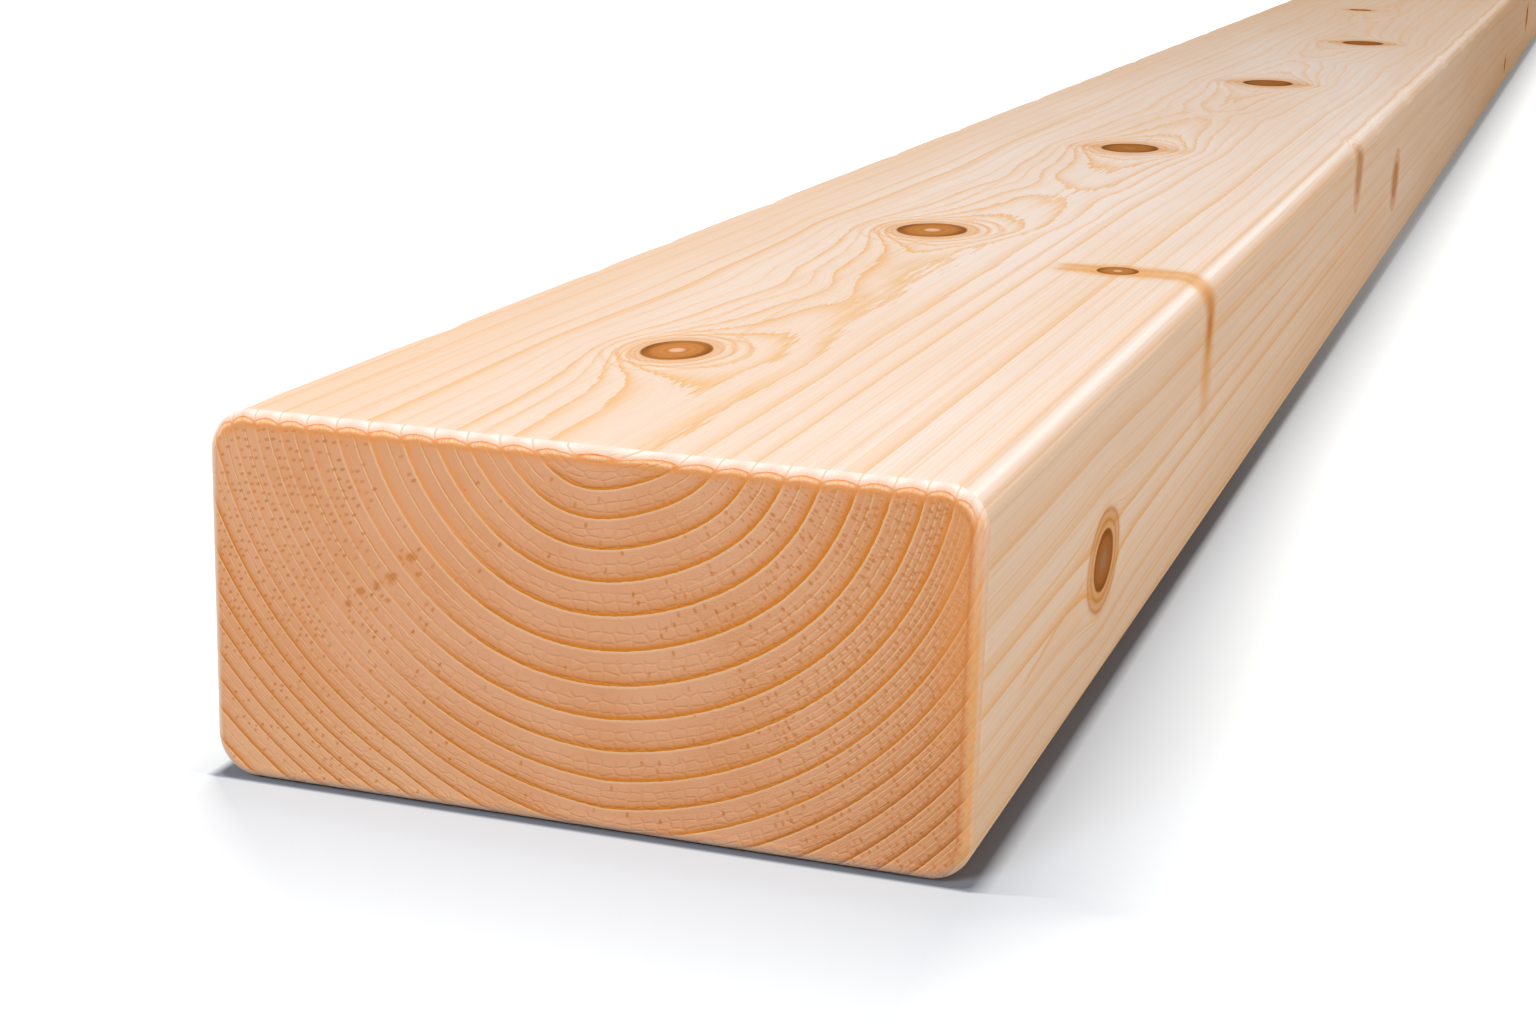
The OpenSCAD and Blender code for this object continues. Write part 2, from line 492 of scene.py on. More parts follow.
class Shader:
    """The node tree of a material or a world, with short calls for the nodes that it needs."""

    def __init__(self, owner, surface="Principled BSDF"):
        owner.use_nodes = True
        self.owner = owner
        self.tree = owner.node_tree
        self.surface = self.tree.nodes[surface]

    def node(self, kind, inputs=None, **settings):
        made = self.tree.nodes.new(kind)
        for key, value in settings.items():
            setattr(made, key, value)
        for key, value in (inputs or {}).items():
            self.put(made.inputs[key], value)
        return made

    def put(self, socket, value):
        if isinstance(value, bpy.types.NodeSocket):
            self.tree.links.new(value, socket)
        else:
            socket.default_value = value

    def math(self, operation, a, b=0.0, c=0.0, clamp=False):
        made = self.node("ShaderNodeMath", {0: a, 1: b, 2: c}, operation=operation, use_clamp=clamp)
        return made.outputs[0]

    def fold(self, operation, *terms):
        total = terms[0]
        for term in terms[1:]:
            total = self.math(operation, total, term)
        return total

    sum = partialmethod(fold, "ADD")
    times = partialmethod(fold, "MULTIPLY")
    most = partialmethod(fold, "MAXIMUM")
    less = partialmethod(math, "SUBTRACT")
    over = partialmethod(math, "DIVIDE")
    line = partialmethod(math, "MULTIPLY_ADD")
    size = partialmethod(math, "ABSOLUTE")
    fract = partialmethod(math, "FRACT")
    floor = partialmethod(math, "FLOOR")

    def value(self, name):
        return self.node("ShaderNodeAttribute", attribute_name=name).outputs["Fac"]

    def parts(self, vector):
        return self.node("ShaderNodeSeparateXYZ", {0: vector}).outputs

    def vector(self, name):
        return self.parts(self.node("ShaderNodeAttribute", attribute_name=name).outputs["Vector"])

    def join(self, x, y, z=0.0):
        return self.node("ShaderNodeCombineXYZ", {0: x, 1: y, 2: z}).outputs[0]

    def place_mm(self):
        """Object coordinates in millimetres."""
        return self.stretched(self.node("ShaderNodeTexCoord").outputs["Object"], MM)

    def stretched(self, vector, scale):
        scale = scale if isinstance(scale, tuple) else (scale, scale, scale)
        return self.node("ShaderNodeVectorMath", {0: vector, 1: scale}, operation="MULTIPLY").outputs[0]

    def noise(self, vector, stretch=None, detail=2.0, roughness=0.5):
        """Noise about zero, mostly within plus or minus a half."""
        if stretch is not None:
            vector = self.stretched(vector, stretch)
        inputs = {"Vector": vector, "Scale": 1.0, "Detail": detail, "Roughness": roughness}
        return self.less(self.node("ShaderNodeTexNoise", inputs).outputs[0], 0.5)

    def length(self, x, y):
        return self.math("SQRT", self.sum(self.times(x, x), self.times(y, y)))

    def run(self, value, low, high, first, last, clamp=True):
        """Straight run of a value from low to high, as first to last."""
        inputs = {"Value": value, "From Min": low, "From Max": high, "To Min": first, "To Max": last}
        return self.node("ShaderNodeMapRange", inputs, clamp=clamp).outputs[0]

    def rise(self, value, low, high):
        """Smooth step from 0 at low to 1 at high."""
        inputs = {"Value": value, "From Min": low, "From Max": high}
        return self.node("ShaderNodeMapRange", inputs, interpolation_type="SMOOTHSTEP").outputs[0]

    def hump(self, value, centre, half_width):
        """A smooth bump of height 1 at centre that ends half_width to each side."""
        return self.rise(self.size(self.less(value, centre)), half_width, 0.0)

    def ramp(self, value, stops):
        """A curve through (place, level) stops."""
        made = self.node("ShaderNodeValToRGB", {0: value})
        elements = made.color_ramp.elements
        while len(elements) < len(stops):
            elements.new(0.5)
        for element, (place, level) in zip(elements, stops):
            element.position = place
            element.color = (level, level, level, 1.0)
        return made.outputs[0]

    def mix(self, share, a, b, blend="MIX"):
        made = self.node("ShaderNodeMix", data_type="RGBA", blend_type=blend)
        self.put(made.inputs["Factor"], share)
        for key, value in (("A", a), ("B", b)):
            socket = next(i for i in made.inputs if i.name == key and i.type == "RGBA")
            self.put(socket, value if isinstance(value, bpy.types.NodeSocket) else (*value, 1.0))
        return next(o for o in made.outputs if o.type == "RGBA")

    def paint(self, colour, other, *shares):
        """A colour with the product of some shares of another over it."""
        return self.mix(self.times(*shares), colour, other)

    def dress(self, values):
        for name, value in values.items():
            self.put(self.surface.inputs[name], value)

    def finish(self, colour, roughness, height, bump_mm, shine):
        """Joins colour, roughness and bump height to the surface."""
        bump = self.node("ShaderNodeBump", {"Height": height, "Distance": bump_mm / MM, "Strength": 1.0})
        self.dress({"Base Color": colour, "Roughness": roughness, "Normal": bump.outputs[0]})
        self.dress({"Specular IOR Level": shine})
        return self.owner


def ring_chance(g, age):
    """A fixed random share for each growth ring."""
    ring = g.floor(age)
    return g.node("ShaderNodeTexWhiteNoise", {"W": ring}, noise_dimensions="1D").outputs["Value"]


# Colours of the materials
PALE = (0.965, 0.812, 0.715)
PEACH = (0.945, 0.732, 0.585)
AMBER = (0.92, 0.535, 0.235)
# Painted highlight for the right upper edge
CREAM = (0.99, 0.90, 0.80)
KNOT_HEART = (0.86, 0.52, 0.32)
KNOT_GREY = (0.44, 0.235, 0.13)
KNOT_DULL = (0.46, 0.20, 0.075)
KNOT_BODY = (0.66, 0.265, 0.075)
KNOT_RIM = (0.28, 0.085, 0.014)
KNOT_HALO = (0.80, 0.40, 0.14)
KNOT_CIRCLE = (0.90, 0.43, 0.15)
STREAK = (0.90, 0.47, 0.18)
SIDE_TINT = (0.99, 0.865, 0.71)
END_EARLY = (0.83, 0.425, 0.23)
END_DEEP = (0.78, 0.345, 0.155)
END_LATE = (0.76, 0.24, 0.022)
END_PIT = (0.66, 0.235, 0.06)
END_BRIGHT = (0.96, 0.61, 0.34)
END_GLOW = (0.93, 0.37, 0.115)
# Painted shade of the deep grooves at the lower right
GROOVE_SHADE = (0.50, 0.14, 0.015)
RIM_PALE = (0.95, 0.87, 0.80)
RIM_CREAM = (0.96, 0.77, 0.60)
RIM_BLUSH = (0.82, 0.56, 0.41)
RIM_WARM = (0.88, 0.56, 0.35)
RIM_AMBER = (0.84, 0.46, 0.19)
# Painted shadow of the torn line's undercut, and the torn fibres' lip with a painted highlight
TORN_DARK = (0.78, 0.255, 0.065)
TORN_LIP = (0.97, 0.66, 0.42)

# Latewood through one ring, as places and levels, on the long faces and on the ends
LONG_LATE = [(0.0, 0.3), (0.04, 0.0), (0.35, 0.03), (0.6, 0.2), (0.8, 0.55), (0.93, 0.9), (1.0, 1.0)]
ENDS_LATE = [(0.0, 0.0), (0.5, 0.03), (0.7, 0.14), (0.84, 0.4), (0.92, 0.85), (0.95, 1.0), (1.0, 1.0)]
SIDE_RING = 4.5
# Pull of a knot: squeeze of the flames before and after it, their length, then fall and bulge
SQUEEZE_BEFORE, SQUEEZE_AFTER, FLAME_LENGTH = 11.0, 15.0, 0.75
FLAME_FALL, FLAME_BULGE = -0.72, 2.6
KNOT_FALL, KNOT_BULGE = -1.3, 3.4
# Shades on the right upper edge: how far it faces up, half the spread, and depth
EDGE_SHADES = ((0.92, 0.08, 0.08), (0.3, 0.28, 0.14), (0.58, 0.14, 0.09))

# Cells and pits of the ends: lengths in millimetres, and sizes and shifts as shares of a pit's own cell
CELL_LENGTH, CELL_ROWS, CELL_RING = 2.6, 3.5, 5.5
PIT_STEP, PIT_ROW = 1.75, 1.6
LADDER_STEP, LADDER_ROW = 0.85, 1.15
PIT_HALF_WIDTH, PIT_HALF_LENGTH = 0.18, 0.34
PIT_ROW_SHIFT, PIT_STRAY_ASIDE, PIT_STRAY_ALONG = 0.37, 0.44, 0.36
# False rings: place in the ring, the shade's lead, and half width; the first is shown all round
FALSE_RINGS = ((0.5, 0.06, 0.045), (0.29, 0.07, 0.05), (0.73, 0.07, 0.05))
# Bend of the ring lines on the right rim
RIM_BEND = 0.25
# Smudges on the near end: place across and up, half size in millimetres
SMUDGES = [
    (-44.5, 36.5, 0.8), (-42.0, 39.0, 0.9), (-38.6, 40.6, 1.0), (-35.8, 42.4, 1.3),
    (-36.5, 38.0, 0.7), (-34.2, 46.2, 0.7), (-31.8, 46.6, 1.1), (-30.6, 43.4, 0.6),
]


# Material of the long faces

def knot_field(g, place):
    """The nearest knot: distance in its sizes, pull on the rings, their bulge, slip of the fibres."""
    across, along, reign = g.vector("knot")
    half_width, half_length, streak = g.vector("knot_shape")
    wobble = g.line(g.noise(place, (0.2, 0.1, 0.2), detail=1.0), 0.06, 1.0)
    knot_x = g.over(across, half_width)
    near = g.times(g.length(knot_x, g.over(along, half_length)), wobble)
    # Squeezed along the grain, so that flames run out long
    squeeze = g.line(g.math("LESS_THAN", along, 0.0), SQUEEZE_BEFORE - SQUEEZE_AFTER, SQUEEZE_AFTER)
    share = g.over(g.size(along), squeeze)
    far = g.times(squeeze, g.math("LOGARITHM", g.sum(share, 1.0), math.e))
    flame = g.length(knot_x, g.over(far, g.times(half_length, FLAME_LENGTH)))
    # Spikes with a streak leave the grain straight
    hold = g.times(g.rise(reign, 0.0, 1.6), g.less(1.0, g.math("MINIMUM", streak, 1.0)))

    def fall(off, rate):
        beyond = g.most(g.less(off, 1.0), 0.0)
        return g.times(g.math("EXPONENT", g.times(beyond, rate)), hold)

    pull = fall(flame, FLAME_FALL)
    bulge = g.sum(g.times(pull, FLAME_BULGE), g.times(fall(near, KNOT_FALL), KNOT_BULGE))
    round_near = g.most(near, 1.0)
    slip = g.times(g.over(across, g.times(round_near, round_near)), hold)
    return near, pull, bulge, slip


def knot_body(g, near, knot_x, aside, dark):
    """Inside of a knot: ringed body, heart and dark rim."""
    rings = g.math("SINE", g.times(near, 25.0))
    body = g.paint(KNOT_BODY, KNOT_DULL, aside, 0.7)
    body = g.mix(g.line(rings, 0.09, 0.09), body, KNOT_RIM)
    body = g.paint(body, KNOT_RIM, dark, 0.7)
    core = g.over(near, g.line(aside, 0.6, 1.0))
    heart = g.mix(aside, KNOT_HEART, KNOT_GREY)
    body = g.paint(body, heart, g.rise(core, 0.28, 0.14), g.rise(dark, 0.8, 0.3))
    ends = g.over(g.times(knot_x, knot_x), g.most(g.times(near, near), 0.05))
    rim = g.times(g.rise(near, 0.55, 0.97), g.line(ends, 0.5, 0.45), g.line(aside, -0.2, 1.0))
    return g.mix(rim, body, KNOT_RIM)


def knot_colours(g, place, near, aside, colour):
    """Knots over the wood's colour: halo, circles, wings, streak, and the knot itself."""
    across, along, _ = g.vector("knot")
    half_width, half_length, _ = g.vector("knot_shape")
    strength = g.sum(1.0, g.math("MINIMUM", g.value("knot_dark"), 0.0))
    dark = g.most(g.value("knot_dark"), 0.0)
    knot_x = g.over(across, half_width)
    knot_y = g.over(along, half_length)
    uneven = g.noise(place, 0.08)

    halo = g.sum(g.times(dark, 0.5), g.times(aside, 0.35), 1.5)
    halo = g.rise(near, halo, g.line(aside, 0.3, 1.05))
    colour = g.paint(colour, KNOT_HALO, halo, g.line(aside, 0.2, 0.55), strength)
    outermost = g.times(g.hump(near, 2.05, 0.12), g.line(aside, -0.5, 0.5))
    circles = g.most(g.hump(near, 1.28, 0.1), g.hump(near, 1.62, 0.13), outermost)
    circle_colour = g.mix(aside, KNOT_CIRCLE, KNOT_BODY)
    colour = g.paint(colour, circle_colour, circles, g.sum(uneven, 0.6), strength)
    wing = g.times(g.hump(g.sum(knot_y, uneven), 0.0, 0.6), g.rise(g.size(knot_x), 2.6, 1.0))
    colour = g.paint(colour, KNOT_HALO, wing, dark, 0.75)
    colour = streak_colours(g, across, along, uneven, colour)
    soft_edge = g.line(strength, -0.5, 0.54)
    edge = g.rise(near, g.sum(1.0, soft_edge), g.less(1.0, soft_edge))
    return g.paint(colour, knot_body(g, near, knot_x, aside, dark), edge, strength)


def streak_colours(g, across, along, uneven, colour):
    """The stain that a spike knot trails over the edge: amber on both sides of it, brown past the edge."""
    streak = g.vector("knot_shape")[2]
    reach = g.over(g.times(across, -1.0), g.most(streak, 1.0))
    long = g.rise(streak, 2.0, 10.0)
    begun = g.rise(reach, -0.3, -0.2)
    middle = g.line(uneven, 7.0, along)
    stain = g.times(g.rise(reach, 1.05, 0.7), begun, g.hump(middle, 0.0, 13.0), long)
    dashes = g.times(g.rise(reach, 0.5, 0.3), g.hump(g.size(middle), 4.0, 4.0), long, begun)
    blot = g.times(g.hump(reach, 0.4, 0.14), g.hump(middle, 0.0, 11.0), long)
    core = g.times(g.hump(reach, 0.54, 0.17), g.hump(middle, 0.0, 8.0), long)
    colour = g.paint(colour, STREAK, stain, 0.8)
    colour = g.paint(colour, KNOT_HALO, g.most(dashes, blot), 0.5)
    return g.paint(colour, KNOT_BODY, core, 0.85)


def side_tongue(g, place, s):
    """The amber tongue with a ragged tip that runs from the right side's knot towards the near end."""
    x, _, z = g.parts(place)
    fibres = g.noise(place, (0.3, 0.04, 1.1))
    along = g.line(fibres, 18.0, s)
    run = g.times(g.rise(along, 26.0, 40.0), g.rise(along, 98.0, 80.0), g.rise(x, 71.0, 72.4))

    def border(slope, height):
        return g.sum(z, g.times(s, slope), height, g.times(fibres, 1.6))

    upper, lower = border(-0.1, -22.6), border(0.02, -25.0)
    lines = g.most(g.hump(upper, -0.3, 1.0), g.times(g.hump(lower, 0.0, 0.9), 0.6))
    fill = g.times(g.rise(upper, 0.3, -0.5), g.rise(lower, -0.4, 0.4), 0.25)
    return g.times(g.most(lines, fill), run, 0.75)


def long_rings(g, place, aside, calm, pull, bulge, side_slip):
    """Latewood of the long faces, and the same with crisp edges and fine strands between."""
    # Ring age, drawn in round the knots and made ragged along the fibres where the cut is flat
    fibres = g.noise(place, (0.85, 0.03, 0.85), detail=3.0, roughness=0.65)
    flat_cut = g.times(g.math("POWER", g.value("flatness"), 3.0), g.line(aside, -0.9, 1.0))
    ragged = g.times(g.line(g.most(flat_cut, pull), 1.2, 0.06), g.line(aside, -0.7, 1.0))
    drift = g.noise(place, (0.05, 0.0018, 0.05))
    grown = g.sum(g.value("age"), g.times(fibres, ragged), g.times(drift, 0.5))
    grown = g.less(grown, g.times(bulge, g.line(aside, -0.9, 1.0)))
    # On the narrow faces the rings part with the fibres
    steep = g.over(g.vector("from_heart")[1], g.times(g.value("ring_radius"), SIDE_RING))
    grown = g.less(grown, g.times(side_slip, steep))
    phase = g.fract(grown)
    chance = ring_chance(g, grown)
    soft = g.math("POWER", g.ramp(phase, LONG_LATE), g.line(chance, 2.0, 0.8))
    late = g.times(soft, g.line(chance, -0.5, 0.85), g.line(calm, -0.45, 1.0))
    late = g.math("MULTIPLY", late, g.line(pull, 0.5, 1.0), clamp=True)
    patch = g.rise(g.noise(place, (0.06, 0.003, 0.06)), -0.2, 0.2)
    crisp = g.times(g.hump(phase, 0.96, 0.08), patch, g.line(calm, -0.45, 0.6))
    strands = g.hump(g.fract(g.times(grown, 4.0)), 0.5, 0.2)
    strands = g.times(strands, patch, g.line(calm, -0.26, 0.3))
    return late, g.most(late, crisp, strands)


def long_grain():
    """The planed long faces: latewood lines, jagged flames, knots."""
    g = Shader(bpy.data.materials.new("softwood_long_grain"))
    place = g.place_mm()
    x, y, z = g.parts(place)
    s = g.vector("from_heart")[2]
    facing_right, _, facing_up = g.parts(g.node("ShaderNodeTexCoord").outputs["Normal"])
    aside = g.rise(facing_up, 0.78, 0.4)
    calm = g.rise(s, 250.0, 900.0)
    on_right = g.rise(x, 40.0, 60.0)
    # Painted shade at the foot of the sides
    foot_shade = g.times(g.rise(z, 32.0, 4.0), aside)
    near, pull, bulge, slip = knot_field(g, place)
    # Fibres part round the knots
    side_slip = g.times(slip, facing_right)
    bent = g.join(g.sum(x, g.times(slip, facing_up)), y, g.less(z, side_slip))
    late, lines = long_rings(g, place, aside, calm, pull, bulge, side_slip)

    # Colour: pale wood, peach clouds, amber latewood and fibre threads
    colour = g.mix(g.rise(g.noise(place, (0.03, 0.004, 0.03), detail=3.0), -0.25, 0.3), PALE, PEACH)
    colour = g.paint(colour, PEACH, g.rise(s, 260.0, 30.0), g.rise(x, 60.0, 0.0), 0.9, facing_up)
    thread = g.noise(bent, (0.55, 0.0022, 0.55), detail=4.0, roughness=0.7)
    colour = g.paint(colour, AMBER, g.rise(thread, 0.03, 0.2), g.line(aside, 0.15, 0.4))
    lines = g.times(lines, g.line(g.times(g.rise(x, 5.0, 45.0), facing_up), -0.1, 1.0))
    colour = g.mix(g.most(lines, side_tongue(g, place, s)), colour, AMBER)
    colour = g.paint(colour, AMBER, g.rise(x, -30.0, -68.0), 0.3)
    colour = g.paint(colour, AMBER, g.rise(s, 800.0, 1500.0), 0.36)
    # On the right upper edge an amber line, partly the grain's own and partly painted shade, beside a
    # painted cream highlight; painted shade at the foot of the sides; then the knots
    colour = g.paint(colour, AMBER, g.hump(facing_up, 0.93, 0.065), on_right, 0.3)
    colour = g.paint(colour, CREAM, g.hump(facing_up, 0.79, 0.1), on_right, g.line(calm, -0.6, 0.9))
    colour = g.paint(colour, AMBER, foot_shade, 0.25)
    colour = knot_colours(g, place, near, aside, colour)

    # Hairlines, flecks and shades
    hair = g.noise(bent, (2.6, 0.012, 2.6), roughness=0.6)
    fleck = g.rise(g.noise(place, (2.2, 0.11, 2.2), detail=1.0), 0.2, 0.34)
    shade = g.less(g.line(hair, 0.18, 1.0), g.times(fleck, 0.06))
    for centre, half, depth in EDGE_SHADES:
        shade = g.less(shade, g.times(g.hump(facing_up, centre, half), on_right, depth))
    # Painted shade at the foot of the sides
    shade = g.less(shade, g.times(foot_shade, 0.1))

    # The upper face keeps the paler colour; the others take a deeper tan
    colour = g.mix(aside, colour, g.mix(1.0, colour, SIDE_TINT, "MULTIPLY"))
    colour = g.mix(1.0, colour, g.join(shade, shade, shade), "MULTIPLY")
    height = g.sum(g.times(late, 0.5), hair, g.times(g.rise(near, 1.1, 0.9), 0.4))
    return g.finish(colour, g.line(late, -0.1, 0.6), height, bump_mm=0.04, shine=0.0)


# Material of the ends

def cell_lines(g, angle, radius, age, phase):
    """Edges of the rounded cells between the rings, laid in rows round the heart."""
    ring_radius = g.less(radius, g.times(phase, CELL_RING))
    spot = g.join(g.times(angle, ring_radius, 1.0 / CELL_LENGTH), g.times(age, CELL_ROWS))
    inputs = {"Vector": spot, "Scale": 1.0, "Randomness": 0.5}
    cells = g.node("ShaderNodeTexVoronoi", inputs, voronoi_dimensions="2D", feature="DISTANCE_TO_EDGE")
    return g.rise(cells.outputs["Distance"], 0.2, 0.0)


def pit_dashes(g, angle, radius, density, pit_step, pit_row):
    """Resin pits: short radial dashes in rows round the heart, kept where density allows."""
    rows = g.over(radius, pit_row)
    row = g.floor(rows)
    step = g.sum(g.times(angle, row, pit_row / pit_step), g.times(row, PIT_ROW_SHIFT))
    spot = g.join(g.floor(step), row)
    dice = g.node("ShaderNodeTexWhiteNoise", {"Vector": spot}, noise_dimensions="2D")
    dice_x, dice_y, dice_keep = g.parts(dice.outputs["Color"])

    def off_middle(value, throw, stray, half):
        off = g.sum(g.fract(value), g.line(throw, stray, -0.5 * (1.0 + stray)))
        return g.times(off, 1.0 / half)

    wide = off_middle(step, dice_x, PIT_STRAY_ASIDE, PIT_HALF_WIDTH)
    long = off_middle(rows, dice_y, PIT_STRAY_ALONG, PIT_HALF_LENGTH)
    dash = g.rise(g.sum(g.times(wide, wide), g.times(long, long)), 1.4, 0.4)
    return g.times(dash, g.math("LESS_THAN", dice_keep, density), g.line(dice_x, 0.5, 0.5))


def end_pits(g, place, angle, radius, outer):
    """Pits to both sides of the heart: crowded high on the left, in close ladders on the right."""
    x, _, z = g.parts(place)
    patchy = g.rise(g.noise(place, 0.1), -0.5, 0.05)
    density = g.times(g.line(g.times(outer, g.rise(radius, 25.0, 62.0)), 0.75, 0.1), patchy)
    corner = g.times(g.rise(x, -34.0, -52.0), g.rise(z, 20.0, 36.0))
    kept = g.most(g.rise(x, -10.0, 20.0), g.line(corner, 0.7, 0.3))
    pits = pit_dashes(g, angle, radius, g.times(density, kept), PIT_STEP, PIT_ROW)
    ladder = g.times(g.rise(angle, 0.65, 1.05), g.rise(radius, 115.0, 85.0), 0.6)
    return g.most(pits, pit_dashes(g, angle, radius, ladder, LADDER_STEP, LADDER_ROW))


def scratches(g, angle, radius):
    """Fine crossing scratches, from the middle to the right."""
    round_it = g.times(angle, 60.0)
    out = g.times(radius, 3.5)
    rightward = g.noise(g.join(g.sum(round_it, radius), out), detail=1.0)
    leftward = g.noise(g.join(g.less(round_it, radius), out), detail=1.0)
    return g.times(g.most(rightward, leftward), g.rise(angle, -0.1, 0.5))


def smudges(g, place):
    """A few brown smudges left of the middle of the near end."""
    x, y, z = g.parts(place)
    wobble = g.noise(place, 0.7)
    total = 0.0
    for across, up, half in SMUDGES:
        off = g.length(g.less(x, across), g.less(z, up))
        off = g.line(wobble, 1.6, g.times(off, 1.0 / half))
        total = g.most(total, g.rise(off, 1.3, 0.3))
    return g.times(total, g.math("LESS_THAN", y, 0.0), 0.9)


def rim_sides(g, z, phase, inset, out_right, to_right, ragged, colour):
    """Left and right of the rim: a warm band with the ring lines over it, and a painted highlight along the
    outer edge.
    """
    beside = g.rise(g.size(out_right), 0.6, 0.9)
    reach = g.less(inset, g.line(out_right, 0.1, 2.1))
    band = g.paint(RIM_WARM, END_GLOW, g.hump(phase, 0.96, 0.12), 0.9)
    # On the right the lower ring lines bend and split, and a dark line runs along the inside
    bend = g.times(g.math("MINIMUM", reach, 0.0), g.rise(z, 50.0, 25.0), RIM_BEND)
    bent = g.fract(g.sum(phase, bend))
    fine = g.hump(g.fract(g.times(bent, 3.0)), 0.5, 0.35)
    lines = g.most(g.hump(bent, 0.93, 0.11), g.times(fine, 0.4))
    right_band = g.mix(g.rise(z, 62.0, 40.0), RIM_WARM, RIM_AMBER)
    band = g.mix(to_right, band, g.paint(right_band, END_GLOW, lines, 0.85))
    colour = g.paint(colour, band, g.rise(reach, 0.3, -0.9), beside, 0.7)
    inner_line = g.hump(g.line(ragged, 0.5, reach), 0.4, 0.5)
    colour = g.paint(colour, TORN_DARK, inner_line, to_right, beside, 0.6)
    # Painted highlight along the rim's outer edge
    edge_highlight = g.rise(inset, g.line(out_right, -0.6, 1.4), 0.3)
    return g.paint(colour, RIM_CREAM, edge_highlight, beside, g.line(to_right, -0.55, 0.85))


def rim_top(g, place, phase, edge, arch, top, colour):
    """Top of the rim: pale at its outer edge, rosy towards the torn line, whose undercut is a painted
    shadow, and ragged fibres under that, lit by a painted highlight.
    """
    strokes = g.rise(g.noise(place, (3.0, 1.0, 0.9), detail=1.0), -0.25, 0.15)
    # The lip of torn fibres is brightened with a painted highlight
    lip = g.times(g.hump(edge, 0.45, 0.5), g.rise(arch, 0.1, 0.5), g.line(strokes, 0.6, 0.3))
    colour = g.paint(colour, TORN_LIP, lip, top)
    band = g.mix(g.rise(edge, -1.5, -0.1), RIM_PALE, RIM_BLUSH)
    band = g.paint(band, END_GLOW, g.hump(phase, 0.97, 0.06), 0.6)
    colour = g.paint(colour, band, g.rise(edge, 0.06, -0.1), top)
    # Painted shadow in the undercut of the torn line
    return g.paint(colour, TORN_DARK, g.hump(edge, 0.03, 0.15), g.rise(arch, 0.05, 0.4), top, 0.9)


def rim_colours(g, place, phase, colour):
    """The eased rim over the end's colour, its fibres torn in arches between the rings at the top."""
    inset, out_right, out_up = g.value("inset"), g.value("out_right"), g.value("out_up")
    z = g.parts(place)[2]
    top = g.rise(out_up, 0.3, 0.7)
    to_right = g.rise(out_right, 0.3, 0.8)
    arch = g.math("SINE", g.times(phase, math.pi))
    ragged = g.noise(place, 1.6)
    edge = g.sum(g.less(inset, g.line(arch, -TORN_ARCH, TORN_INSET)), g.times(ragged, 0.25))
    # A warm glow inside the top and right edges, and a paler bottom
    below = g.times(g.rise(edge, 3.0, 0.5), top, 0.95)
    inside = g.times(g.rise(inset, 13.0, 2.5), to_right, g.rise(z, 5.0, 50.0), 0.5)
    colour = g.mix(g.most(below, inside), colour, END_GLOW)
    colour = g.paint(colour, RIM_CREAM, g.rise(inset, 2.4, 0.6), g.rise(out_up, -0.3, -0.7), 0.45)
    colour = rim_sides(g, z, phase, inset, out_right, to_right, ragged, colour)
    return rim_top(g, place, phase, edge, arch, top, colour)


def ring_lines(g, phase, angle, radius):
    """Darkening latewood with its colour, and a painted highlight on the lip past it; softer high on the
    left.
    """
    glowing = g.times(g.rise(angle, -0.4, -0.8), g.rise(radius, 88.0, 75.0))
    soft = g.times(glowing, g.rise(radius, 44.0, 60.0))
    late = g.times(g.ramp(phase, ENDS_LATE), g.line(soft, -0.62, 1.0))
    # Painted shade of deep grooves darkens the ring lines at the lower right
    groove_shade = g.times(g.rise(angle, 0.1, 0.5), g.rise(radius, 78.0, 95.0), 0.7)
    line_colour = g.mix(groove_shade, g.mix(glowing, END_LATE, END_GLOW), GROOVE_SHADE)
    # The lip past each ring line is a painted highlight
    bright = g.times(g.rise(phase, 0.11, 0.0), g.line(soft, -0.35, 1.0))
    return late, line_colour, bright


def false_rings(g, phase, angle, radius, outer, chance):
    """Thin bright lines between the rings, and the shade before each; more of them to the right."""
    shown = g.times(g.line(chance, 0.4, 0.6), outer)
    more = g.times(g.rise(angle, 0.3, 0.8), g.rise(radius, 40.0, 65.0), g.line(chance, -0.5, 1.0))
    lines, shades = [], []
    for (at, lead, half), share in zip(FALSE_RINGS, (shown, more, more)):
        lines.append(g.times(g.hump(phase, at, half), share))
        shades.append(g.times(g.hump(phase, at - lead, half), share))
    return g.most(*lines), g.most(*shades)


